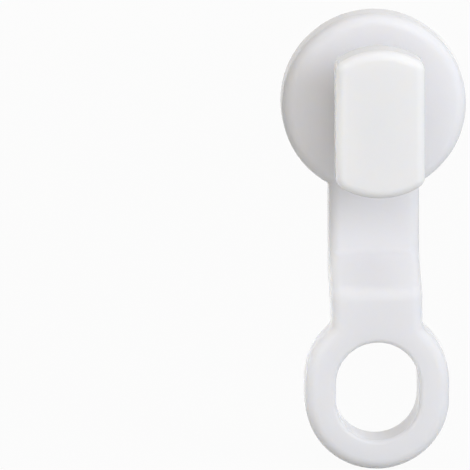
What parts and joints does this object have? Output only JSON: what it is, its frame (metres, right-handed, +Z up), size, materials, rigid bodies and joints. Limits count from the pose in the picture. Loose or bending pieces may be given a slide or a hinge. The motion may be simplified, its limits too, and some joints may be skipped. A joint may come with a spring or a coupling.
{
  "type": "curtain glider",
  "caption": "Cranked curtain glider: a rounded slide head and neck roller run in a rail slot, and a steel axle pin carries a hanger with a round flange and an oval hook eyelet.",
  "frame": {"origin": "on the axle, in the middle of the gap between slide head and flange where the rail's lips run", "axes": "+X along the rail, +Z up, -Y towards the slide head, +Y towards the pin's domed head"},
  "size_m": [0.0163, 0.013, 0.0402],
  "materials": {
    "white_plastic": "satin-gloss moulded white plastic",
    "roller_plastic": "satin natural-white plastic",
    "pin_steel": "turned dark steel"
  },
  "bodies": {
    "head": {"slide_head": "white_plastic", "axle_pin": "pin_steel"},
    "hanger": {"hanger": "white_plastic"},
    "roller": {"neck_roller": "roller_plastic"}
  },
  "joints": [
    {"name": "hanger_swing", "type": "hinge", "parent": "head", "child": "hanger", "pos_m": [0, 0, 0], "axis": [0, 1, 0], "continuous": true},
    {"name": "roller_spin", "type": "hinge", "parent": "head", "child": "roller", "pos_m": [0, 0, 0], "axis": [0, 1, 0], "continuous": true}
  ]
}
